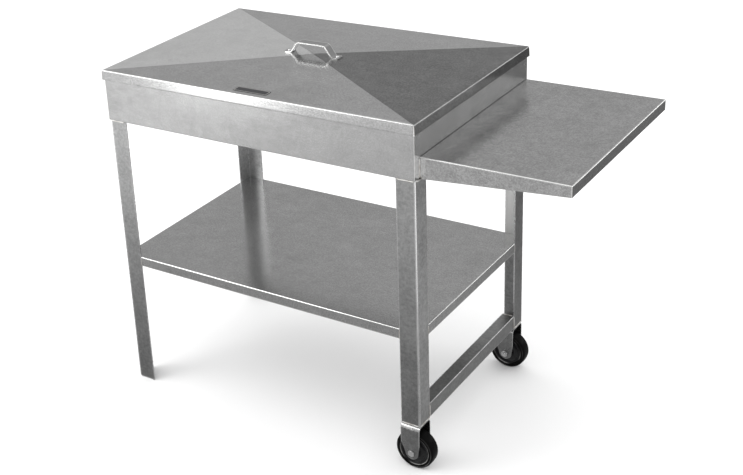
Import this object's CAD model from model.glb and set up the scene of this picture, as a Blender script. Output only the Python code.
"""Looks of the lidded fire trolley: sheet lid, fire box, angle legs, shelves, wheels and studio."""

import functools
import math
import random

import bmesh
import bpy
from mathutils import Matrix, Vector, noise


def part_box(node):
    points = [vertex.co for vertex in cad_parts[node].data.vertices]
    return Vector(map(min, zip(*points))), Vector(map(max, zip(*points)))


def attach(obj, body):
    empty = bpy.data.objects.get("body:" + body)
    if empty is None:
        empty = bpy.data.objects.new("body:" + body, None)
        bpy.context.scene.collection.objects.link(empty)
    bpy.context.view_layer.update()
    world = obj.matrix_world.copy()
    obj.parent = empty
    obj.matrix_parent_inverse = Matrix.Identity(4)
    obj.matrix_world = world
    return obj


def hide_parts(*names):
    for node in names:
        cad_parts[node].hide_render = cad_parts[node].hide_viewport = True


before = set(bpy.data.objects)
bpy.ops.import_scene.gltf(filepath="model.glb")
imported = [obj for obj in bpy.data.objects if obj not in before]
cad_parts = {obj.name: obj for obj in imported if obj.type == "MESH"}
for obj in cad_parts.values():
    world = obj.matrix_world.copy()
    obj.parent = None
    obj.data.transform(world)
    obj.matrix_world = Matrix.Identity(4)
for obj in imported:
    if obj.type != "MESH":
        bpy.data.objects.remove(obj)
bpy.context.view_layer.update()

bl_info = {
    "name": "Fire Trolley Finish",
    "version": (1, 0, 0),
    "blender": (4, 5, 0),
    "location": "View3D > Sidebar > Trolley",
    "description": "Builds the folded, welded and worn look of a sheet-steel fire trolley on its CAD frame",
    "category": "Object",
}

ANGLE_WALL = 0.003           # leg and rung angle
SAME = 1e-6                  # lengths nearer than this are equal
FAR_BELOW = -5.0             # puts a box's bottom edges out of reach
RUBBED_WHITE = (0.93, 0.93, 0.92)
RUBBED_ZINC = (0.78, 0.78, 0.78)
WHITE = (1.0, 1.0, 1.0)


def node_box(name):
    """Lowest and highest corner of a CAD node as vectors."""
    low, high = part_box(name)
    return Vector(low), Vector(high)


LID_LOW, LID_HIGH = node_box("lid_panel")
LID_MIDDLE = (LID_LOW + LID_HIGH) / 2


# ---- shader expressions
class Socket:
    """One shader output; arithmetic on it adds the nodes that work it out."""

    def __init__(self, tree, out):
        self.tree, self.out = tree, out

    def _math(self, operation, *values, clamp=False):
        settings = {"operation": operation, "use_clamp": clamp}
        return self.tree.node("ShaderNodeMath", settings, dict(enumerate(values)))

    def __add__(self, other):
        return self._math("ADD", self, other)

    __radd__ = __add__

    def __sub__(self, other):
        return self._math("SUBTRACT", self, other)

    def __rsub__(self, other):
        return self._math("SUBTRACT", other, self)

    def __mul__(self, other):
        return self._math("MULTIPLY", self, other)

    __rmul__ = __mul__

    def __truediv__(self, other):
        return self._math("DIVIDE", self, other)

    def __pow__(self, other):
        return self._math("POWER", self, other)

    def abs(self):
        return self._math("ABSOLUTE", self)

    def min(self, other):
        return self._math("MINIMUM", self, other)

    def max(self, other):
        return self._math("MAXIMUM", self, other)

    def clamp(self):
        return self._math("ADD", self, 0.0, clamp=True)

    def swing(self, amount):
        """A noise of 0 to 1 as a change of this amount about nothing."""
        return (self - 0.5) * amount

    def ramp(self, low, high, to_low=0.0, to_high=1.0):
        """Smooth step from low to high."""
        settings = {"interpolation_type": "SMOOTHSTEP"}
        values = {"Value": self, "From Min": low, "From Max": high, "To Min": to_low, "To Max": to_high}
        return self.tree.node("ShaderNodeMapRange", settings, values)


class Nodes:
    """A node tree being written; every node comes from node()."""

    def __init__(self, tree):
        self.nodes, self.links = tree.nodes, tree.links
        self.nodes.clear()

    def node(self, kind, settings=None, values=None, output=0):
        """Adds a node: settings first, then each input's value or link. Gives its output, if it has one."""
        made = self.nodes.new(kind)
        for key, value in (settings or {}).items():
            setattr(made, key, value)
        for key, value in (values or {}).items():
            if isinstance(value, Socket):
                self.links.new(value.out, made.inputs[key])
            else:
                made.inputs[key].default_value = value
        return Socket(self, made.outputs[output]) if made.outputs else None

    def split(self, vector):
        """The three parts of a vector."""
        parts = self.node("ShaderNodeSeparateXYZ", None, {"Vector": vector}).out.node
        return [Socket(self, part) for part in parts.outputs]

    def blend(self, factor, first, second):
        """Mixes two colours, or colour sockets, by a factor."""
        return self.mix("MIX", factor, first, second)

    def tint(self, colour, factor):
        """Multiplies a colour, or colour socket, by a grey factor."""
        grey = self.node("ShaderNodeCombineColor", None, {"Red": factor, "Green": factor, "Blue": factor})
        return self.mix("MULTIPLY", 1.0, colour, grey)

    def mix(self, kind, factor, first, second):
        colour_a, colour_b, mixed = 6, 7, 2                   # the colour sockets of a Mix node
        values = {"Factor": factor}
        for key, colour in ((colour_a, first), (colour_b, second)):
            values[key] = colour if isinstance(colour, Socket) else (*colour, 1.0)
        return self.node("ShaderNodeMix", {"data_type": "RGBA", "blend_type": kind}, values, mixed)


class Finish(Nodes):
    """A material being written: its node tree and its Principled shader."""

    def __init__(self, name, **constants):
        self.material = bpy.data.materials.new(name)
        self.material.use_nodes = True
        super().__init__(self.material.node_tree)
        surface = self.node("ShaderNodeBsdfPrincipled")
        self.node("ShaderNodeOutputMaterial", None, {"Surface": surface})
        self.shader = surface.out.node
        for socket, value in constants.items():
            self.shader.inputs[socket.replace("_", " ")].default_value = value
        self.place = self.node("ShaderNodeTexCoord", output="Object")
        self.x, self.y, self.z = self.split(self.place)

    def feed(self, socket, value):
        """Feeds one of the shader's inputs."""
        self.links.new(value.out, self.shader.inputs[socket])

    def stretched(self, scale, turn=(0, 0, 0)):
        """The object's coordinates, turned and scaled along each axis."""
        values = {"Vector": self.place, "Scale": scale, "Rotation": turn}
        return self.node("ShaderNodeMapping", {"vector_type": "POINT"}, values)

    def noise(self, scale, detail=3.0, roughness=0.55, vector=None, distortion=0.0):
        values = {"Vector": vector or self.place, "Scale": scale, "Detail": detail}
        values.update({"Roughness": roughness, "Distortion": distortion})
        return self.node("ShaderNodeTexNoise", None, values)

    def spangle(self, scale):
        """A grey of its own for each crystal of the zinc."""
        values = {"Scale": scale, "Vector": self.place}
        cells = self.node("ShaderNodeTexVoronoi", {"feature": "F1"}, values, "Color")
        return self.node("ShaderNodeRGBToBW", None, {"Color": cells})

    def done(self, colour, roughness, relief, strength, distance):
        """Feeds the shader its colour, its roughness and a bump, and gives the material."""
        values = {"Height": relief, "Strength": strength, "Distance": distance}
        self.feed("Base Color", colour)
        self.feed("Roughness", roughness.clamp())
        self.feed("Normal", self.node("ShaderNodeBump", None, values))
        return self.material

    def fold_mask(self, low, high, width):
        """1 on the edges of a box-shaped sheet part, fading to 0 at width from them."""
        gaps = []
        for value, a, b in zip((self.x, self.y, self.z), low, high):
            gaps.append((b - a) / 2 - (value - (a + b) / 2).abs())
        first, second, third = gaps
        middle = first.min(second).max(first.max(second).min(third))
        return 1 - middle.ramp(0.0, width)


def grain(finish, along, fine=1.0):
    """Rolling grain of sheet: long fine streaks along one axis, with broader tonal bands."""
    stretch = {"x": (0.02, 1, 1), "y": (1, 0.02, 1), "z": (1, 1, 0.02)}[along]
    streaks = finish.noise(620 * fine, 4.0, 0.7, finish.stretched(stretch))
    bands = finish.noise(26, 3.0, 0.6, finish.stretched([0.25 if s < 1 else 1 for s in stretch]))
    return streaks, bands


def sheet_finish(name, tone, rough, along, fold, facets=0.0, mottle=0.0, seam=None, depth=0.34):
    """Satin cold-rolled sheet.

    fold is the box whose edges are rubbed bright and how far in from them, facets how far the lid's
    right and left facets differ, mottle the spangle, seam an x where dirt gathers, depth the fine grain.
    """
    finish = Finish(name, Metallic=1.0)
    streaks, bands = grain(finish, along)
    clouds = finish.noise(5.5, 4.0, 0.6)
    scuffs = finish.noise(90, 6.0, 0.75, distortion=0.6)
    speckle = finish.noise(260, 2.0, 0.6).ramp(0.25, 0.75)
    blotches = finish.noise(24, 5.0, 0.7, distortion=0.4)
    shade = 1 + streaks.swing(0.20) + bands.swing(0.12) + clouds.swing(0.14)
    shade = shade + speckle.swing(depth) + blotches.swing(0.30)
    if mottle:
        shade = shade + finish.spangle(95.0).swing(mottle)
    if seam is not None:
        shade = shade * (finish.x - seam).ramp(0.0010, 0.0034, 0.22, 1.0)
    if facets:
        along_x = (finish.x - LID_MIDDLE.x).abs() / (LID_HIGH.x - LID_MIDDLE.x)
        along_y = finish.y.abs() / LID_HIGH.y
        on_end = (along_x - along_y).ramp(-0.004, 0.004)
        side = (finish.x - LID_MIDDLE.x).ramp(-0.01, 0.01, 1.0, -1.0)
        shade = shade + on_end * side * facets
    scratches = finish.noise(30, 2.0, 0.4, finish.stretched((0.35, 9.0, 9.0), turn=(0.3, 0.5, 0.7)))
    scratches = (1 - (scratches - 0.5).abs().ramp(0.0, 0.006)) * clouds.ramp(0.45, 0.65)
    shade = shade + scratches * 0.16
    roughness = rough + streaks.swing(0.08) + clouds.swing(0.07) + scuffs.ramp(0.62, 0.75) * 0.07
    roughness = roughness + blotches.swing(0.08) - scratches * 0.05
    colour = finish.tint(finish.blend(clouds, [tone, tone, tone * 0.995], [tone] * 3), shade)
    rubbed = finish.fold_mask(*fold) * (0.7 + 0.3 * scuffs.ramp(0.3, 0.6))
    colour = finish.blend(rubbed, colour, RUBBED_WHITE)
    roughness = roughness - rubbed * 0.04
    return finish.done(colour, roughness, streaks * 0.7 + scuffs * 0.3, 0.10, 0.00025)


def rolled_angle_finish(name, tone, boxes, rough=0.34, flange=0.0, crown=None, lit=None):
    """Galvanised angle: cloudy zinc bloom, faint spangle, rubbed corners and grimy feet.

    boxes are those whose edges are rubbed bright. flange brightens the face at the first box's right,
    crown is the height above which all is rubbed bright, lit that above which the inner flange is.
    """
    finish = Finish(name, Metallic=1.0)
    streaks, _ = grain(finish, "z", 0.8)
    clouds = finish.noise(11, 5.0, 0.62, distortion=0.35)
    grey = finish.spangle(120.0)
    drips = finish.noise(40, 3.0, 0.6, finish.stretched((1, 1, 0.12)))
    right_face = boxes[0][1].x
    height = (finish.z + clouds.swing(0.12)) / 0.75
    bloom = finish.noise(130, 4.0, 0.75, distortion=0.3).ramp(0.25, 0.75)
    shade = 1 + clouds.swing(0.44) + grey.swing(0.16) + streaks.swing(0.10) + drips.swing(0.14)
    shade = shade + bloom.swing(0.40)
    shade = shade * height.ramp(0.0, 1.0, 0.58, 1.0)
    if flange:
        shade = shade * (1 + (finish.x - (right_face - 0.0006)).ramp(0.0, 0.0004) * flange)
    colour = finish.tint(finish.blend(clouds, [tone * 0.995, tone, tone], [tone] * 3), shade)
    if lit:
        inner = (finish.x - (right_face - 2 * ANGLE_WALL)).ramp(-0.0004, 0.0004, 1.0, 0.0)
        inner = inner * (finish.z - lit).ramp(-0.001, 0.001)
        colour = finish.blend(inner * (0.80 + 0.20 * drips.ramp(0.3, 0.6)), colour, (0.95, 0.95, 0.94))
    bright = functools.reduce(Socket.max, [finish.fold_mask(low, high, 0.0028) for low, high in boxes])
    if crown is not None:
        bright = bright.max((finish.z + bloom.swing(0.004) - crown).ramp(-0.0015, 0.0015))
    rubbed = bright * (0.4 + 0.6 * drips.ramp(0.3, 0.62))
    colour = finish.blend(rubbed, colour, RUBBED_ZINC)
    roughness = rough + clouds.swing(0.16) + grey.swing(0.08) - rubbed * 0.08
    return finish.done(colour, roughness, clouds * 0.5 + streaks * 0.25 + grey * 0.25, 0.16, 0.0004)


def bright_finish(name, tone=0.86, rough=0.16, edges=None):
    """Polished strap or plated fastener with fine rubbing marks. edges are two y rubbed brighter still."""
    finish = Finish(name, Metallic=1.0)
    marks = finish.noise(420, 5.0, 0.7, finish.stretched((1, 0.15, 1)))
    haze = finish.noise(60, 4.0, 0.6)
    colour = finish.tint(finish.blend(haze, [tone * 0.97] * 3, [tone] * 3), 1 + marks.swing(0.12))
    if edges:
        gap = (finish.y - edges[0]).abs().min((finish.y - edges[1]).abs())
        colour = finish.blend(1 - gap.ramp(0.0004, 0.0022), colour, (0.97, 0.97, 0.96))
    roughness = rough + marks.swing(0.12) + haze.swing(0.10)
    return finish.done(colour, roughness, marks, 0.08, 0.0002)


def fired_finish(name, tone, scale_colour, rough=0.62, clean_below=None):
    """Steel out of the fire: dark scale, rust bloom and pale ash, and bare steel below clean_below."""
    finish = Finish(name, Metallic=0.35)
    clouds = finish.noise(14, 6.0, 0.66, distortion=0.5)
    pits = finish.noise(240, 4.0, 0.7)
    ash = finish.noise(34, 5.0, 0.7, distortion=0.8)
    base = finish.blend(clouds.ramp(0.42, 0.68), [tone] * 3, scale_colour)
    base = finish.blend(ash.ramp(0.60, 0.80) * 0.55, base, (0.36, 0.35, 0.33))
    colour = finish.tint(base, 0.8 + pits * 0.4)
    roughness = (rough + clouds.swing(0.25) + pits.swing(0.2)).clamp()
    if clean_below is not None:
        fired = (finish.z - clean_below).ramp(0.0, 0.0004)
        clean = finish.tint(finish.blend(clouds, [0.52] * 3, [0.6] * 3), 0.9 + pits * 0.2)
        colour = finish.blend(fired, clean, colour)
        roughness = roughness * fired + (1 - fired) * (0.26 + clouds * 0.1)
        finish.feed("Metallic", 1 - fired * 0.65)
    return finish.done(colour, roughness, pits * 0.6 + clouds * 0.4, 0.45, 0.0006)


def ring_mask(finish, centre, radius, width):
    """1 on a circle round a wheel's axle, fading to 0 at width from it. centre is the axle's point."""
    across = ((finish.x - centre.x) ** 2 + (finish.z - centre.z) ** 2) ** 0.5
    return 1 - (across - radius).abs().ramp(0.0, width)


def black_rubber_finish(name, centre, radius, tone=0.003):
    """Solid rubber: near black, slightly dusty, with its moulded side rings rubbed paler."""
    finish = Finish(name, Metallic=0.0, Specular_IOR_Level=0.04)
    dust = finish.noise(38, 5.0, 0.7, distortion=0.4)
    fine = finish.noise(520, 3.0, 0.6)
    colour = finish.blend(dust.ramp(0.50, 0.80) * 0.5, [tone] * 3, (0.008, 0.0079, 0.0077))
    rings = ring_mask(finish, centre, radius * 0.90, 0.0010) * 0.45
    rings = rings.max(ring_mask(finish, centre, radius * 0.76, 0.0016))
    worn = rings * finish.noise(24, 2.0, 0.5).ramp(0.38, 0.60)
    worn = worn * (finish.z / radius).ramp(0.2, 1.4, 1.0, 0.35)
    colour = finish.blend(worn, colour, (0.26, 0.257, 0.252))
    colour = finish.tint(colour, 0.8 + fine * 0.4)
    roughness = 0.30 + dust.swing(0.24) + fine.swing(0.12) - worn * 0.08
    return finish.done(colour, roughness, fine * 0.7 + dust * 0.3, 0.2, 0.0004)


def moulded_core_finish(name):
    """Black moulded wheel core: smoother than the tyre, with faint flow marks."""
    finish = Finish(name, Metallic=0.0, Specular_IOR_Level=0.25)
    flow = finish.noise(60, 4.0, 0.6, distortion=1.2)
    fine = finish.noise(700, 2.0, 0.5)
    colour = finish.blend(flow, (0.006, 0.006, 0.0065), (0.016, 0.016, 0.017))
    roughness = 0.30 + flow.swing(0.2) + fine.swing(0.1)
    return finish.done(colour, roughness, fine, 0.12, 0.0003)


def bronze_finish(name):
    """Plain bearing bronze with oil staining."""
    finish = Finish(name, Metallic=1.0)
    stain = finish.noise(90, 4.0, 0.6)
    colour = finish.blend(stain.ramp(0.35, 0.7), (0.50, 0.34, 0.16), (0.22, 0.14, 0.07))
    roughness = 0.3 + stain * 0.25
    return finish.done(colour, roughness, stain, 0.15, 0.0003)


def blank_plate_finish(name):
    """Blank dark plate with a thin pale rim and brushed face."""
    low, high = node_box("blank_plate")
    finish = Finish(name, Metallic=0.85)
    streaks, bands = grain(finish, "x", 1.3)
    rim_x = (high.x - low.x) / 2 - (finish.x - (low.x + high.x) / 2).abs()
    rim_y = (high.y - low.y) / 2 - (finish.y - (low.y + high.y) / 2).abs()
    rim = rim_x.min(rim_y)
    border = rim.ramp(0.0012, 0.0016) * (1 - rim.ramp(0.0026, 0.0030))
    face = finish.tint(finish.blend(bands, (0.045, 0.045, 0.05), (0.07, 0.07, 0.075)), 0.8 + streaks * 0.4)
    colour = finish.blend(border, face, (0.62, 0.61, 0.58))
    roughness = 0.34 + streaks.swing(0.2)
    return finish.done(colour, roughness, streaks, 0.1, 0.0002)


def weld_finish(name):
    """Fresh weld metal: bright ripples with dull heat-tinted valleys."""
    finish = Finish(name, Metallic=1.0)
    ripples = finish.noise(300, 4.0, 0.6)
    heat = finish.noise(45, 3.0, 0.5)
    colour = finish.blend(heat.ramp(0.4, 0.7), (0.82, 0.81, 0.79), (0.55, 0.52, 0.48))
    colour = finish.tint(colour, 0.85 + ripples * 0.3)
    roughness = 0.26 + ripples * 0.2
    return finish.done(colour, roughness, ripples, 0.4, 0.0005)


# ---- mesh helpers
JOINED_WITHIN = 0.000005     # CAD vertices nearer than this are one
EASED_FROM = math.radians(35)
FLAT_FACES_WEIGH = 80


def mesh_from(name, build):
    """A mesh filled in by build(bm)."""
    bm = bmesh.new()
    build(bm)
    bmesh.ops.recalc_face_normals(bm, faces=bm.faces)
    mesh = bpy.data.meshes.new(name)
    bm.to_mesh(mesh)
    bm.free()
    return mesh


def linked(name, data):
    """A new object in the scene."""
    made = bpy.data.objects.new(name, data)
    bpy.context.scene.collection.objects.link(made)
    return made


def new_piece(name, build, body, material, replaced=None, sharp=None):
    """A named piece filled in by build(bm), riding on a body; sharp is its hard edges' angle in degrees."""
    mesh = mesh_from(name, build)
    if not mesh.polygons:
        raise RuntimeError(f"{name} came out empty")
    for polygon in mesh.polygons:
        polygon.use_smooth = True
    if sharp:
        mesh.set_sharp_from_angle(angle=math.radians(sharp))
    mesh.materials.append(material)
    piece = linked(name, mesh)
    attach(piece, body)
    if replaced:
        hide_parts(replaced)
    return piece


def give(names, material, eased=0.0):
    """Puts a material on CAD nodes and breaks their sharp edges by eased, as a file would."""
    for name in names:
        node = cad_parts[name]
        node.data.materials.clear()
        node.data.materials.append(material)
        if eased:
            joined = node.modifiers.new("joined", "WELD")
            joined.merge_threshold = JOINED_WITHIN
            bevel = node.modifiers.new("eased", "BEVEL")
            bevel.width, bevel.segments, bevel.limit_method = eased, 2, "ANGLE"
            bevel.angle_limit = EASED_FROM
            shading = node.modifiers.new("shading", "WEIGHTED_NORMAL")
            shading.weight = FLAT_FACES_WEIGH


def turns(count):
    """Evenly spread angles of one turn."""
    return [2 * math.pi * i / count for i in range(count)]


def axes_of(outward):
    """Two directions square to an axis."""
    side = Vector((1, 0, 0)) if abs(outward.x) < 0.9 else Vector((0, 1, 0))
    return side, outward.cross(side).normalized()


def skin(bm, rings, ends):
    """Joins rings of vertices with faces; ends says whether to cap, join or leave the first and last."""
    for here, there in zip(rings, rings[1:] + (rings[:1] if ends == "join" else [])):
        for i in range(len(here)):
            k = (i + 1) % len(here)
            bm.faces.new((here[i], here[k], there[k], there[i]))
    if ends == "cap":
        bm.faces.new(rings[0])
        bm.faces.new(rings[-1])


def ring_round(bm, base, outward, steps, place_at):
    """Vertices round an axis; place_at gives the radius and distance along the axis at an angle."""
    side, up = axes_of(outward)
    ring = []
    for a in turns(steps):
        r, t = place_at(a)
        ring.append(bm.verts.new(base + (side * math.cos(a) + up * math.sin(a)) * r + outward * t))
    return ring


def lathe(bm, profile, steps, axis_point, outward):
    """Turns a closed profile of (radius, offset) about an axis; outward is the axis's direction."""
    side, up = axes_of(outward)
    rings = []
    for a in turns(steps):
        spoke = side * math.cos(a) + up * math.sin(a)
        rings.append([bm.verts.new(axis_point + spoke * r + outward * t) for r, t in profile])
    skin(bm, rings, "join")


# ---- lid
TOP_RINGS, FOLD_RINGS, SKIRT_RINGS, HEM_RINGS, UNDER_RINGS = 44, 6, 6, 4, 12


def lid_height(x, y, rise):
    """Height of the cross-broken top above its edge."""
    along = abs(x - LID_MIDDLE.x) / (LID_HIGH.x - LID_MIDDLE.x)
    across = abs(y) / LID_HIGH.y
    return rise * (1 - max(along, across))


def limited(value):
    return max(0.0, min(1.0, value))


def lid_outline(half_x, half_y, corner, per_side):
    """Points round a rectangle with small round corners; the same count whatever its size."""
    corner = min(corner, half_x * 0.5, half_y * 0.5)
    near = 0.003 / max(half_x, 0.003)
    stops = [-1, -1 + near] + [-1 + 2 * i / per_side for i in range(1, per_side)] + [1 - near, 1]
    points = []
    for turn in range(4):
        along_x = turn % 2 == 0
        run, off = (half_x, half_y) if along_x else (half_y, half_x)
        sign = 1 if turn in (0, 1) else -1
        for stop in stops:
            run_at, off_at = sign * stop * (run - corner), sign * off
            points.append((run_at, -off_at) if along_x else (off_at, run_at))
        for k in (1, 2, 3):
            a = math.pi / 2 * k / 4
            out, ahead = corner * math.cos(a), corner * math.sin(a)
            run_at, off_at = sign * (run - corner + ahead), sign * (off - corner + out)
            points.append((run_at, -off_at) if along_x else (off_at, run_at))
    return points


def build_lid(bm, settings):
    """Cross-broken top, rolled top edge, slightly flared skirt and its turned-in hem, inside and out."""
    half_x, half_y = (LID_HIGH.x - LID_LOW.x) / 2, (LID_HIGH.y - LID_LOW.y) / 2
    edge = LID_HIGH.z - settings.rise
    foot = LID_LOW.z
    gauge, fold, hem = settings.gauge, settings.fold, settings.hem
    flare = math.tan(settings.flare)
    # (half_x, half_y, corner radius, height or None on the cross-broken top, how far under that top)
    rings = []
    for i in range(1, TOP_RINGS + 1):
        s = i / TOP_RINGS
        rings.append((s * (half_x - fold), s * (half_y - fold), 0.002 * s, None, 0.0))
    for k in range(1, FOLD_RINGS + 1):
        a = math.pi / 2 * k / FOLD_RINGS
        inset = fold * (1 - math.sin(a))
        rings.append((half_x - inset, half_y - inset, 0.0022, edge - fold * (1 - math.cos(a)), 0.0))
    top_of_skirt, end_of_skirt = edge - fold, foot + hem
    for k in range(1, SKIRT_RINGS + 1):
        drop = (top_of_skirt - end_of_skirt) * k / SKIRT_RINGS
        out = flare * drop
        rings.append((half_x + out, half_y + out, 0.0022, top_of_skirt - drop, 0.0))
    reach = flare * (top_of_skirt - end_of_skirt)
    for k in range(1, HEM_RINGS + 1):
        a = math.pi / 2 * k / HEM_RINGS
        inset = hem * (1 - math.cos(a)) - reach
        rings.append((half_x - inset, half_y - inset, 0.002, foot + hem * (1 - math.sin(a)), 0.0))
    inner = gauge - reach
    rings.append((half_x - inner + hem, half_y - inner + hem, 0.0015, foot, 0.0))
    rings.append((half_x - inner, half_y - inner, 0.0015, foot + hem, 0.0))
    rings.append((half_x - gauge, half_y - gauge, 0.0015, edge - gauge - 0.001, 0.0))
    for i in range(UNDER_RINGS, 0, -1):
        s = i / UNDER_RINGS
        rings.append((s * (half_x - gauge - 0.001), s * (half_y - gauge - 0.001), 0.0015 * s, None, gauge))
    made = []
    for ring_x, ring_y, corner, height, under in rings:
        row = []
        for x, y in lid_outline(ring_x, ring_y, corner, settings.side_cuts):
            place = Vector((LID_MIDDLE.x + x, y, 0))
            if height is None:
                wave = noise.noise(place * 5.5) * settings.waviness
                reach_out = max(abs(x) / half_x, abs(y) / half_y)
                wave *= limited((reach_out - 0.22) * 4) * limited((1 - reach_out) * 9)
                place.z = edge + lid_height(place.x, place.y, settings.rise) - under + wave
            else:
                ripple = noise.noise(Vector((place.x * 4, place.y * 4, 3.0))) * settings.waviness * 1.2
                ripple *= limited((edge - height) / 0.01)
                place.x += ripple * (1 if x > 0 else -1) * (abs(abs(x) - ring_x) < SAME)
                place.y += ripple * (1 if y > 0 else -1) * (abs(abs(y) - ring_y) < SAME)
                place.z = height
            row.append(bm.verts.new(place))
        made.append(row)
    skin(bm, made, "leave")
    for row, height in ((made[0], edge + settings.rise), (made[-1], edge + settings.rise - gauge)):
        middle = bm.verts.new((LID_MIDDLE.x, 0, height))
        for i in range(len(row)):
            bm.faces.new((middle, row[i], row[(i + 1) % len(row)]))


# ---- welds
BEAD_FLATNESS, BEAD_STEP, BEAD_SIDES, RIPPLE_PITCH = 0.62, 0.0007, 10, 0.0024


def weld_bead(bm, start, end, radius, chance):
    """A run of weld metal: a rippled half-sunk bead that swells and thins along its length."""
    start, run = Vector(start), Vector(end) - Vector(start)
    length, ahead = run.length, run.normalized()
    side = ahead.cross(Vector((0.3, 0.2, 0.93))).normalized()
    up = side.cross(ahead) * BEAD_FLATNESS
    rings, count = [], max(8, int(length / BEAD_STEP))
    swell = chance.uniform(0, 10)
    for i in range(count + 1):
        s = length * i / count
        taper = min(1.0, s / radius, (length - s) / radius)
        taper = math.sqrt(max(0.0, 1 - (1 - taper) ** 2))
        ripple = 1 + 0.16 * abs(math.sin(math.pi * s / RIPPLE_PITCH))
        ripple += 0.18 * noise.noise(Vector((s * 90, swell, 0)))
        r = max(radius * ripple * taper, 1e-5)
        centre = start + ahead * s + side * (0.25 * radius * noise.noise(Vector((s * 60, swell, 5))))
        ring = [centre + side * (r * math.cos(a)) + up * (r * math.sin(a)) for a in turns(BEAD_SIDES)]
        rings.append([bm.verts.new(place) for place in ring])
    skin(bm, rings, "cap")


# ---- fasteners
HEX_STEPS, ROD_STEPS, CUTS_PER_PITCH = 48, 24, 6
CHAMFER, CHAMFERED_END = math.tan(math.radians(28)), 0.0012


def hex_at(angle, half_flats):
    """Radius of a hexagon at an angle, half_flats being half its width across flats."""
    within = (angle + math.pi / 6) % (math.pi / 3) - math.pi / 6
    return half_flats / math.cos(within)


def hex_solid(bm, base, outward, half_flats, height, bore=0.0, socket=0.0):
    """Hexagonal head with turned chamfers. bore makes it a nut; socket sinks a hexagon in its face."""
    turned, broken, washer = half_flats * 0.95, 0.0003, 0.0004
    # (radius or half flats, hexagonal, height, which way its corners are cut back)
    if bore:
        rows = [(bore, False, broken, 0), (bore * 1.12, False, 0, 0)]
        rows += [(turned, False, 0, 0), (half_flats, True, 0, 1)]
    else:
        rows = [(turned * 0.98, False, 0, 0), (turned * 0.98, False, washer, 0)]
        rows.append((half_flats, True, washer, 0))
    rows += [(half_flats, True, height, -1), (turned, False, height, 0)]
    if bore:
        rows += [(bore * 1.12, False, height, 0), (bore, False, height - broken, 0)]
    elif socket:
        rows += [(socket * 1.06, True, height, 0), (socket, True, height - broken, 0)]
        rows.append((socket, True, height * 0.45, 0))
    else:
        rows.append((half_flats * 0.55, False, height - 0.0002, 0))

    def place_at(a, radius, hexagonal, level, cut):
        r = hex_at(a, radius) if hexagonal else radius
        return r, level + cut * max(0.0, r - turned) * CHAMFER

    rings = [ring_round(bm, base, outward, HEX_STEPS, lambda a: place_at(a, *row)) for row in rows]
    skin(bm, rings, "join" if bore else "cap")


def threaded_rod(bm, base, outward, radius, plain, threaded, pitch, depth):
    """A rod whose far end carries a helical thread and a chamfer."""
    count = int(threaded / pitch * CUTS_PER_PITCH)
    stations = [0.0, plain * 0.5, plain] + [plain + threaded * i / count for i in range(1, count + 1)]

    def place_at(a, t):
        if t <= plain:
            return radius, t
        phase = (t / pitch - a / (2 * math.pi)) % 1.0
        chamfer = max(0.0, t - (plain + threaded - CHAMFERED_END)) * 0.9
        return radius - max(depth * abs(2 * phase - 1), chamfer), t

    skin(bm, [ring_round(bm, base, outward, ROD_STEPS, lambda a: place_at(a, t)) for t in stations], "cap")


# ---- wheels
TYRE_STEPS, CORE_STEPS = 128, 96


def tyre_profile(half, radius, inner):
    """Closed outline of the tyre as (radius, offset): crowned tread, round shoulders, ribbed walls."""
    wall = half - 0.0012
    outer = [(inner, -wall + 0.002), (inner + 0.0008, -wall), (inner + 0.0030, -wall - 0.0004)]
    outer += [(inner + 0.0034, -wall + 0.0002), (inner + 0.0050, -wall + 0.0003)]
    outer.append((inner + 0.0054, -half + 0.0005))
    shoulder = 0.006
    for k in range(7):
        a = math.pi / 2 * k / 6
        up = radius - 0.0006 - shoulder * (1 - math.sin(a))
        outer.append((up, -half + shoulder * (1 - math.cos(a))))
    outer.append((radius - 0.0001, -half * 0.35))
    mirror = [(r, -t) for r, t in reversed(outer)]
    return outer + [(radius, 0.0)] + mirror


def core_profile(settings):
    """Closed outline of the wheel core: rim lip, dished web, filleted hub and its bore."""
    rim, hub, bore = settings.core_radius, settings.hub_radius, settings.bearing_radius
    lip, web, face = settings.rim_half, settings.web_half, settings.hub_half
    side = [(rim, 0.0), (rim, lip - 0.0012), (rim - 0.0008, lip), (rim - 0.0026, lip)]
    side += [(rim - 0.0034, lip - 0.0008), (rim - 0.0042, web + 0.0014), (rim - 0.0062, web)]
    side += [(hub + 0.0055, web - 0.0006), (hub + 0.0022, web + 0.0008), (hub + 0.0006, web + 0.0032)]
    side += [(hub, face - 0.0012), (hub - 0.0012, face), (bore, face)]
    return side + [(r, -t) for r, t in reversed(side[1:])]


# ---- settings
def metres(name, description, default):
    return bpy.props.FloatProperty(name=name, description=description, default=default, unit="LENGTH")


def degrees(name, description, default):
    radians = math.radians(default)
    return bpy.props.FloatProperty(name=name, description=description, default=radians, subtype="ANGLE")


def grey(name, description, default):
    return bpy.props.FloatProperty(name=name, description=description, default=default, subtype="FACTOR")


class TROLLEY_PG_lid(bpy.types.PropertyGroup):
    gauge: metres("Gauge", "Sheet thickness", 0.0015)
    rise: metres("Rise", "Edge to peak", 0.0115)
    fold: metres("Fold", "Radius of the top edge", 0.003)
    hem: metres("Hem", "Rounding of the skirt's foot", 0.0006)
    flare: degrees("Flare", "Skirt's lean out of plumb", 2.6)
    waviness: metres("Waviness", "Height of the sheet's slow waves", 0.00035)
    side_cuts: bpy.props.IntProperty(
        name="Side cuts", description="Divisions of each side", default=26, min=4)


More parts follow.
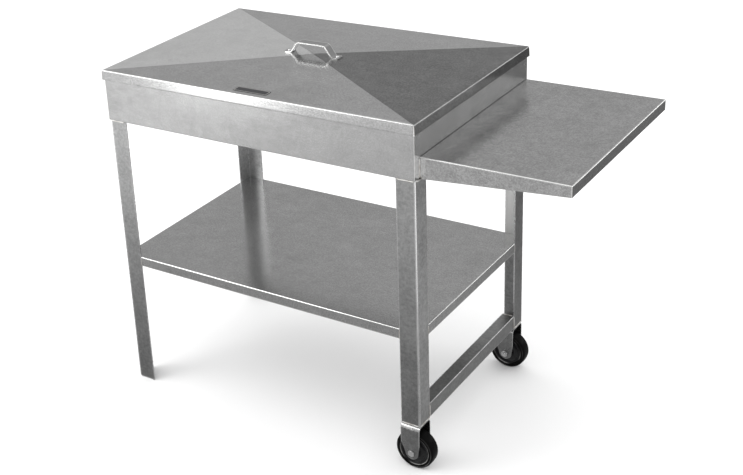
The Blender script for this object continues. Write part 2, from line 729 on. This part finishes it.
class TROLLEY_PG_wheel(bpy.types.PropertyGroup):
    core_radius: metres("Core radius", "Inner radius of the tyre", 0.037)
    hub_radius: metres("Hub radius", "Raised hub", 0.017)
    bearing_radius: metres("Bearing radius", "Bore of the core", 0.012)
    rim_half: metres("Rim half width", "Middle to rim lip", 0.016)
    web_half: metres("Web half width", "Middle to web", 0.0115)
    hub_half: metres("Hub half width", "Middle to hub face", 0.0235)
    axle_radius: metres("Axle radius", "Axle bolt's shank", 0.005)
    half_flats: metres("Half flats", "Half the width of the axle bolt's head", 0.008)
    thread_pitch: metres("Thread pitch", "Axle bolt's thread", 0.0015)


class TROLLEY_PG_finish(bpy.types.PropertyGroup):
    lid_tone: grey("Lid tone", "Lid sheet's grey", 0.54)
    box_tone: grey("Box tone", "Fire box's grey", 0.545)
    tray_tone: grey("Shelf tone", "Shelves' grey", 0.50)
    leg_tone: grey("Leg tone", "Angle's zinc grey", 0.48)
    fork_tone: grey("Fork tone", "Forks' zinc grey", 0.42)
    facet_contrast: grey("Facet contrast", "How much the lid's end facets differ from its middle", 0.58)


class TROLLEY_PG_studio(bpy.types.PropertyGroup):
    azimuth: degrees("Azimuth", "Camera's turn from the front", 36.955)
    elevation: degrees("Elevation", "Camera's height angle", 22.613)
    roll: degrees("Roll", "Camera's turn about its own axis", -4.207)
    place: bpy.props.FloatVectorProperty(
        name="Place", description="Camera's position", default=(1.5524, -2.6117, 1.9539), unit="LENGTH")
    lens: bpy.props.FloatProperty(name="Lens", description="Focal length in millimetres", default=62.642)
    shift: bpy.props.FloatVectorProperty(
        name="Shift", description="Lens shift", default=(0.16824, -0.10431), size=2)
    floor_tone: grey("Floor tone", "Floor's grey", 0.86)


# ---- operators
def of(context, group):
    """One of this scene's settings groups."""
    return getattr(context.scene, "trolley_" + group)


class TROLLEY_OT_lid(bpy.types.Operator):
    """Folded lid with its cross-broken top, flared skirt and welded corners"""
    bl_idname = "trolley.lid"
    bl_label = "Lid"

    def execute(self, context):
        settings, tones = of(context, "lid"), of(context, "finish")
        top = LID_HIGH - Vector((0, 0, settings.rise))
        fold = (LID_LOW.x, LID_LOW.y, FAR_BELOW), top, 0.0024
        material = sheet_finish("lid_sheet", tones.lid_tone, 0.20, "x", fold,
                                facets=tones.facet_contrast, depth=0.26)
        new_piece("lid_sheet_metal", lambda bm: build_lid(bm, settings), "lid", material,
                  "lid_panel", sharp=40)
        chance = random.Random(11)

        def corners(bm):
            for x in (LID_LOW.x, LID_HIGH.x):
                for y in (LID_LOW.y, LID_HIGH.y):
                    inward = Vector((-math.copysign(1, x - LID_MIDDLE.x), -math.copysign(1, y), 0)) * 0.0009
                    start = Vector((x, y, top.z - settings.fold)) + inward
                    end = Vector((x, y, LID_LOW.z + 0.002)) + inward - inward.normalized() * 0.0013
                    weld_bead(bm, start, end, 0.0012, chance)

        new_piece("lid_corner_welds", corners, "lid", weld_finish("lid_weld_metal"))
        return {"FINISHED"}


class TROLLEY_OT_handle(bpy.types.Operator):
    """Polished strap handle and its two dome rivets"""
    bl_idname = "trolley.handle"
    bl_label = "Handle"

    def execute(self, context):
        low, high = node_box("lid_handle")
        give(["lid_handle"], bright_finish("handle_strap", 0.46, 0.14, edges=(low.y, high.y)), 0.0009)
        give(["lid_handle_rivets"], bright_finish("rivet_metal", 0.90, 0.15))
        return {"FINISHED"}


class TROLLEY_OT_plate(bpy.types.Operator):
    """Blank dark plate on the front facet of the lid"""
    bl_idname = "trolley.plate"
    bl_label = "Blank plate"

    def execute(self, context):
        give(["blank_plate"], blank_plate_finish("plate_face"), 0.0002)
        return {"FINISHED"}


class TROLLEY_OT_fire_box(bpy.types.Operator):
    """Fire box walls, floor and grid ledges"""
    bl_idname = "trolley.fire_box"
    bl_label = "Fire box"

    def execute(self, context):
        tone = of(context, "finish").box_tone
        walls = {"front": "x", "back": "x", "left": "y", "right": "y"}
        lows, highs = zip(*(node_box(f"fire_box_{wall}_wall") for wall in walls))
        low, high = [min(column) for column in zip(*lows)], [max(column) for column in zip(*highs)]
        for wall, along in walls.items():
            material = sheet_finish(f"box_sheet_{wall}", tone, 0.24, along, (low, high, 0.0022), depth=0.12)
            give([f"fire_box_{wall}_wall"], material, 0.0003)
        underside = node_box("fire_box_floor")[0].z + 0.0006
        fired = fired_finish("fired_floor", 0.10, (0.13, 0.075, 0.045), clean_below=underside)
        give(["fire_box_floor"], fired, 0.0003)
        fired = fired_finish("fired_ledge", 0.16, (0.15, 0.09, 0.05), 0.5)
        give(["grid_ledge_front", "grid_ledge_back"], fired, 0.0003)
        return {"FINISHED"}


class TROLLEY_OT_pans(bpy.types.Operator):
    """Coal pans, scaled and rusted by the fire"""
    bl_idname = "trolley.pans"
    bl_label = "Coal pans"

    def execute(self, context):
        for side, tone in (("left", 0.115), ("right", 0.095)):
            give([f"coal_pan_{side}"], fired_finish(f"fired_pan_{side}", tone, (0.16, 0.085, 0.045)), 0.0003)
        return {"FINISHED"}


class TROLLEY_OT_grids(bpy.types.Operator):
    """Lift-out cooking grids of round rod"""
    bl_idname = "trolley.grids"
    bl_label = "Cooking grids"

    def execute(self, context):
        for side, tone in (("left", 0.24), ("right", 0.22)):
            rod = fired_finish(f"grid_rod_{side}", tone, (0.17, 0.13, 0.10), 0.42)
            give([f"cooking_grid_{side}"], rod, 0.0004)
        return {"FINISHED"}


class TROLLEY_OT_legs(bpy.types.Operator):
    """Galvanised angle legs, the wheel end rung and their welds"""
    bl_idname = "trolley.legs"
    bl_label = "Legs and welds"

    def execute(self, context):
        tones = of(context, "finish")
        shades = {"front_left": 0.98, "back_left": 1.55, "front_right": 0.86, "back_right": 0.84}
        shelf_low, shelf_high = node_box("lower_shelf")
        rung_low, rung_high = rung = node_box("wheel_end_rung")
        for leg, shade in shades.items():
            outer = node_box(f"leg_{leg}")
            low, high = (corner.copy() for corner in outer)
            _, (into_x, into_y) = self.corner(leg)
            (low if into_x > 0 else high).x += into_x * ANGLE_WALL
            (low if into_y > 0 else high).y += into_y * ANGLE_WALL
            material = rolled_angle_finish(f"zinc_angle_{leg}", tones.leg_tone * shade, [outer, (low, high)],
                                           flange=0.5 if leg == "front_right" else 0.0,
                                           lit=shelf_high.z if leg == "back_right" else None)
            give([f"leg_{leg}"], material, 0.0005)
        give(["wheel_end_rung"], rolled_angle_finish("zinc_rung", tones.leg_tone, [rung]), 0.0005)
        chance = random.Random(7)
        first, last, free = 0.003, 0.048, 0.0510               # along a flange, and its free edge

        def welds(bm):
            def bead(start, end, radius):
                weld_bead(bm, start, end, radius, chance)

            for leg in shades:
                (x, y, foot, top), (into_x, into_y) = self.corner(leg)
                top -= 0.0022
                front, side = y - into_y * 0.0010, x - into_x * 0.0004
                bead((x + into_x * first, front, top), (x + into_x * last, front, top), 0.0038)
                bead((side, y + into_y * first, top), (side, y + into_y * last, top), 0.0034)
                # tray skirt to the free edges of both flanges
                low, high = shelf_low.z + 0.002, shelf_high.z - 0.004
                at_x, at_y = x + into_x * free, y + into_y * 0.0002
                bead((at_x, at_y, low), (at_x, at_y, high), 0.0015)
                at_x, at_y = x + into_x * 0.0002, y + into_y * free
                bead((at_x, at_y, low), (at_x, at_y, high), 0.0015)
                if into_x > 0:
                    continue
                # rung end to the leg's flange, and the wheel pad round the leg's foot
                end, rung_face, rung_top = y + into_y * 0.0508, rung_high.x - 0.0002, rung_high.z - 0.0002
                bead((rung_face, end, rung_low.z + 0.002), (rung_face, end, rung_high.z - 0.003), 0.0031)
                bead((rung_low.x + 0.002, end, rung_top), (rung_high.x - 0.004, end, rung_top), 0.0026)
                foot += 0.0004
                front, side = y - into_y * 0.0002, x - into_x * 0.0002
                bead((x + into_x * first, front, foot), (x + into_x * last, front, foot), 0.0016)
                bead((side, y + into_y * first, foot), (side, y + into_y * last, foot), 0.0016)

        new_piece("frame_welds", welds, "trolley", weld_finish("frame_weld_metal"))
        return {"FINISHED"}

    def corner(self, leg):
        """A leg's outer corner as (x, y, foot, top), and the two directions into the trolley from it."""
        low, high = node_box(f"leg_{leg}")
        left, front = "left" in leg, "front" in leg
        corner = (low.x if left else high.x), (low.y if front else high.y), low.z, high.z
        return corner, ((1 if left else -1), (1 if front else -1))


class TROLLEY_OT_shelves(bpy.types.Operator):
    """Lower shelf and side shelf of satin sheet"""
    bl_idname = "trolley.shelves"
    bl_label = "Shelves"

    def execute(self, context):
        tone = of(context, "finish").tray_tone
        low, high = node_box("lower_shelf")
        fold = low, high, 0.0030
        sheet = sheet_finish("lower_shelf_sheet", tone, 0.17, "x", fold, mottle=0.08)
        give(["lower_shelf"], sheet, 0.0004)
        low, high = node_box("side_shelf")
        fold = (low.x - 0.2, low.y, high.z - 0.3), high, 0.0042
        sheet = sheet_finish("side_shelf_sheet", tone, 0.22, "y", fold, mottle=0.16, seam=low.x)
        give(["side_shelf"], sheet, 0.0004)

        def welds(bm):
            x, y = low.x + 0.0003, low.y - 0.0002
            weld_bead(bm, (x, y, low.z + 0.003), (x, y, high.z - 0.0034), 0.0017, random.Random(23))

        new_piece("side_shelf_welds", welds, "trolley", weld_finish("shelf_weld_metal"))
        return {"FINISHED"}


class TROLLEY_OT_casters(bpy.types.Operator):
    """Wheels, forks, pads and fasteners of both wheel units"""
    bl_idname = "trolley.casters"
    bl_label = "Wheel units"

    def execute(self, context):
        settings, tones = of(context, "wheel"), of(context, "finish")
        moulding = moulded_core_finish("core_moulding")
        bronze = bronze_finish("bearing_metal")
        fastener = bright_finish("zinc_plate", 0.66, 0.26)
        for side, outward in (("front", Vector((0, -1, 0))), ("back", Vector((0, 1, 0)))):
            low, high = node_box(f"wheel_tyre_{side}")
            centre, radius, half = (low + high) / 2, (high.z - low.z) / 2, (high.y - low.y) / 2
            rubber = black_rubber_finish(f"rubber_{side}", centre, radius)
            tyre, core = tyre_profile(half, radius, settings.core_radius), core_profile(settings)
            new_piece(f"tyre_{side}", lambda bm: lathe(bm, tyre, TYRE_STEPS, centre, outward),
                      f"wheel_{side}", rubber, f"wheel_tyre_{side}", sharp=32)
            new_piece(f"core_{side}", lambda bm: lathe(bm, core, CORE_STEPS, centre, outward),
                      f"wheel_{side}", moulding, f"wheel_core_{side}", sharp=40)
            give([f"wheel_bearing_{side}"], bronze)
            give([f"axle_sleeve_{side}", f"hub_washers_{side}"], fastener)
            fork = node_box(f"caster_fork_{side}")
            crown = fork[1].z - 0.0095
            zinc = rolled_angle_finish(f"zinc_fork_{side}", tones.fork_tone, [fork], 0.26, crown=crown)
            give([f"caster_fork_{side}", f"caster_pad_{side}"], zinc, 0.0005)
            self.axle(side, outward, centre, settings, fastener)
            self.pad_screws(side, fastener)
        return {"FINISHED"}

    def axle(self, side, outward, centre, settings, material):
        """Axle bolt with its chamfered head and threaded tail, and its nut."""
        low, high = node_box(f"axle_bolt_{side}")
        fork_low, fork_high = node_box(f"caster_fork_{side}")
        nut_low, nut_high = node_box(f"axle_nut_{side}")
        cheek = (fork_high.y - fork_low.y) / 2
        middle = Vector((centre.x, (fork_low.y + fork_high.y) / 2, centre.z))
        head = (high.y - fork_high.y) if outward.y > 0 else (fork_low.y - low.y)
        tail = (high.y - low.y) - head - 2 * cheek
        overlap = 0.004                                        # thread inside the far cheek

        def screw(bm):
            hex_solid(bm, middle + outward * cheek, outward, settings.half_flats, head)
            threaded_rod(bm, middle + outward * cheek, -outward, settings.axle_radius,
                         2 * cheek - overlap, tail + overlap, settings.thread_pitch, 0.0007)

        def locknut(bm):
            hex_solid(bm, middle - outward * cheek, -outward, settings.half_flats,
                      nut_high.y - nut_low.y, bore=settings.axle_radius)

        self.fastener(f"axle_screw_{side}", screw, material, f"axle_bolt_{side}")
        self.fastener(f"axle_locknut_{side}", locknut, material, f"axle_nut_{side}")

    def pad_screws(self, side, material):
        """Two socket screws up through fork and pad, with hexagon nuts above."""
        low, high = node_box(f"caster_bolts_{side}")
        pad_top = node_box(f"caster_pad_{side}")[1].z
        y, reach, up = (low.y + high.y) / 2, (high.y - low.y) / 2, Vector((0, 0, 1))
        head, nut, radius, from_end = 0.003, 0.005, 0.003, 0.0058

        def screws(bm):
            for x in (low.x + from_end, high.x - from_end):
                under = Vector((x, y, low.z + head))
                hex_solid(bm, under, -up, reach * 0.86, head, socket=0.0022)
                threaded_rod(bm, under, up, radius, pad_top - under.z, high.z - pad_top, 0.001, 0.0005)
                hex_solid(bm, Vector((x, y, pad_top)), up, 0.005, nut, bore=radius)

        self.fastener(f"pad_screws_{side}", screws, material, f"caster_bolts_{side}")

    def fastener(self, name, build, material, replaced):
        new_piece(name, build, "trolley", material, replaced, sharp=30)


class TROLLEY_OT_studio(bpy.types.Operator):
    """Pale floor, soft lights and the camera"""
    bl_idname = "trolley.studio"
    bl_label = "Studio"

    def execute(self, context):
        settings = of(context, "studio")
        self.floor(settings.floor_tone)
        self.lights()
        self.floor_card()
        self.surroundings(context)
        self.camera(context, settings)
        context.scene.view_settings.view_transform = "Standard"
        return {"FINISHED"}

    def level(self, name, finish, half, height, cuts):
        """A level square of the studio."""
        place = Matrix.Translation((0, 0, height))
        mesh = mesh_from(name, lambda bm: bmesh.ops.create_grid(
            bm, x_segments=cuts, y_segments=cuts, size=half, matrix=place))
        mesh.materials.append(finish.material)
        made = linked(name, mesh)
        return made

    def floor(self, tone):
        finish = Finish("studio_floor_paint", Metallic=0.0, Roughness=0.9, Specular_IOR_Level=0.1)
        haze = finish.noise(0.9, 3.0, 0.5)
        finish.feed("Base Color", finish.blend(haze, [tone] * 3, [tone * 0.985] * 3))
        self.level("studio_floor", finish, 14.0, 0.0, 24)

    def lamp(self, name, place, target, width, height, power):
        """One soft rectangular lamp aimed at a point."""
        light = bpy.data.lights.new(name, "AREA")
        light.shape, light.size, light.size_y, light.energy = "RECTANGLE", width, height, power
        lamp = linked(name, light)
        lamp.location = place
        lamp.visible_camera = False
        lamp.rotation_mode = "QUATERNION"
        lamp.rotation_quaternion = (Vector(target) - Vector(place)).to_track_quat("-Z", "Y")

    def lights(self):
        self.lamp("key", (-2.6, -2.2, 3.4), (0, 0, 0.5), 2.2, 2.2, 40)
        self.lamp("low_left_panel", (-1.93, -2.58, 0.26), (-0.53, -0.56, 0.26), 0.36, 0.5, 1.9)
        self.lamp("front_strip", (-2.4, -3.0, 1.35), (0.0, 0.0, 0.8), 1.7, 0.8, 13)
        self.lamp("back_strip", (2.5, 3.3, 1.35), (0.3, 0.0, 0.8), 1.7, 0.8, 9)

    def floor_card(self):
        """Level card that only polished surfaces see, bright at the front left, dark at the back right."""
        finish = Finish("floor_card_tone", Metallic=0.0, Roughness=1.0, Specular_IOR_Level=0.0,
                        Emission_Strength=1.0, Base_Color=(0, 0, 0, 1))
        tone = 0.88 - finish.x.ramp(-1.8, -0.7) * 0.24
        tone = tone - finish.y.ramp(-1.7, -0.8) * 0.22
        tone = tone - finish.y.ramp(0.2, 1.4) * finish.x.ramp(0.1, 0.7) * 0.22
        tone = tone + finish.x.ramp(0.5, 0.9) * (1 - finish.y.ramp(-0.9, -0.4)) * 0.9
        finish.feed("Emission Color", finish.tint(WHITE, tone))
        card = self.level("floor_card", finish, 7.0, 0.004, 1)
        card.visible_camera = card.visible_diffuse = card.visible_shadow = card.visible_transmission = False

    def surroundings(self, context):
        """Pale walls: one strength lights the trolley, another is reflected in it and a third is seen."""
        world = bpy.data.worlds.new("studio_walls")
        context.scene.world = world
        world.use_nodes = True
        walls = Nodes(world.node_tree)
        height = walls.split(walls.node("ShaderNodeTexCoord", output="Generated"))[2]
        reflected = walls.tint(WHITE, height.ramp(0.45, 0.80, 0.47, 1.05))
        lighting, reflections, seen = (
            walls.node("ShaderNodeBackground", None, {"Color": colour, "Strength": strength})
            for colour, strength in (((*WHITE, 1.0), 1.5), (reflected, 1.0), ((*WHITE, 1.0), 0.98)))
        mixed = lighting
        for ray, shade in (("Is Glossy Ray", reflections), ("Is Camera Ray", seen)):
            kind = walls.node("ShaderNodeLightPath", output=ray)
            mixed = walls.node("ShaderNodeMixShader", None, {"Fac": kind, 1: mixed, 2: shade})
        walls.node("ShaderNodeOutputWorld", None, {"Surface": mixed})

    def camera(self, context, settings):
        lens = bpy.data.cameras.new("camera")
        lens.lens, lens.sensor_width = settings.lens, 36.0
        lens.shift_x, lens.shift_y = settings.shift
        lens.clip_start, lens.clip_end = 0.05, 100.0
        camera = linked("camera", lens)
        az, el, roll = settings.azimuth, settings.elevation, settings.roll
        back = Vector((math.sin(az) * math.cos(el), -math.cos(az) * math.cos(el), math.sin(el)))
        right = Vector((math.cos(az), math.sin(az), 0))
        up = back.cross(right)
        tilted = right * math.cos(roll) + up * math.sin(roll)
        upward = up * math.cos(roll) - right * math.sin(roll)
        turn = Matrix((tilted, upward, back)).transposed()
        camera.matrix_world = Matrix.Translation(settings.place) @ turn.to_4x4()
        context.scene.camera = camera


class TROLLEY_PT_panel(bpy.types.Panel):
    """The trolley's pieces in the order in which they are built"""
    bl_idname = "TROLLEY_PT_panel"
    bl_label = "Fire Trolley"
    bl_space_type = "VIEW_3D"
    bl_region_type = "UI"
    bl_category = "Trolley"

    def draw(self, context):
        for operator in PIECES:
            self.layout.operator(operator.bl_idname)


PIECES = (
    TROLLEY_OT_lid, TROLLEY_OT_handle, TROLLEY_OT_plate, TROLLEY_OT_fire_box, TROLLEY_OT_pans,
    TROLLEY_OT_grids, TROLLEY_OT_legs, TROLLEY_OT_shelves, TROLLEY_OT_casters, TROLLEY_OT_studio,
)
GROUPS = (
    ("trolley_lid", TROLLEY_PG_lid), ("trolley_wheel", TROLLEY_PG_wheel),
    ("trolley_finish", TROLLEY_PG_finish), ("trolley_studio", TROLLEY_PG_studio),
)


def register():
    for name, group in GROUPS:
        bpy.utils.register_class(group)
        setattr(bpy.types.Scene, name, bpy.props.PointerProperty(type=group))
    for operator in PIECES:
        bpy.utils.register_class(operator)
    bpy.utils.register_class(TROLLEY_PT_panel)


def unregister():
    bpy.utils.unregister_class(TROLLEY_PT_panel)
    for operator in reversed(PIECES):
        bpy.utils.unregister_class(operator)
    for name, group in reversed(GROUPS):
        delattr(bpy.types.Scene, name)
        bpy.utils.unregister_class(group)


def main():
    register()
    for operator in PIECES:
        group, action = operator.bl_idname.split(".")
        if getattr(getattr(bpy.ops, group), action)() != {"FINISHED"}:
            raise RuntimeError(f"{operator.bl_label} could not be built")


if __name__ == "__main__":
    main()
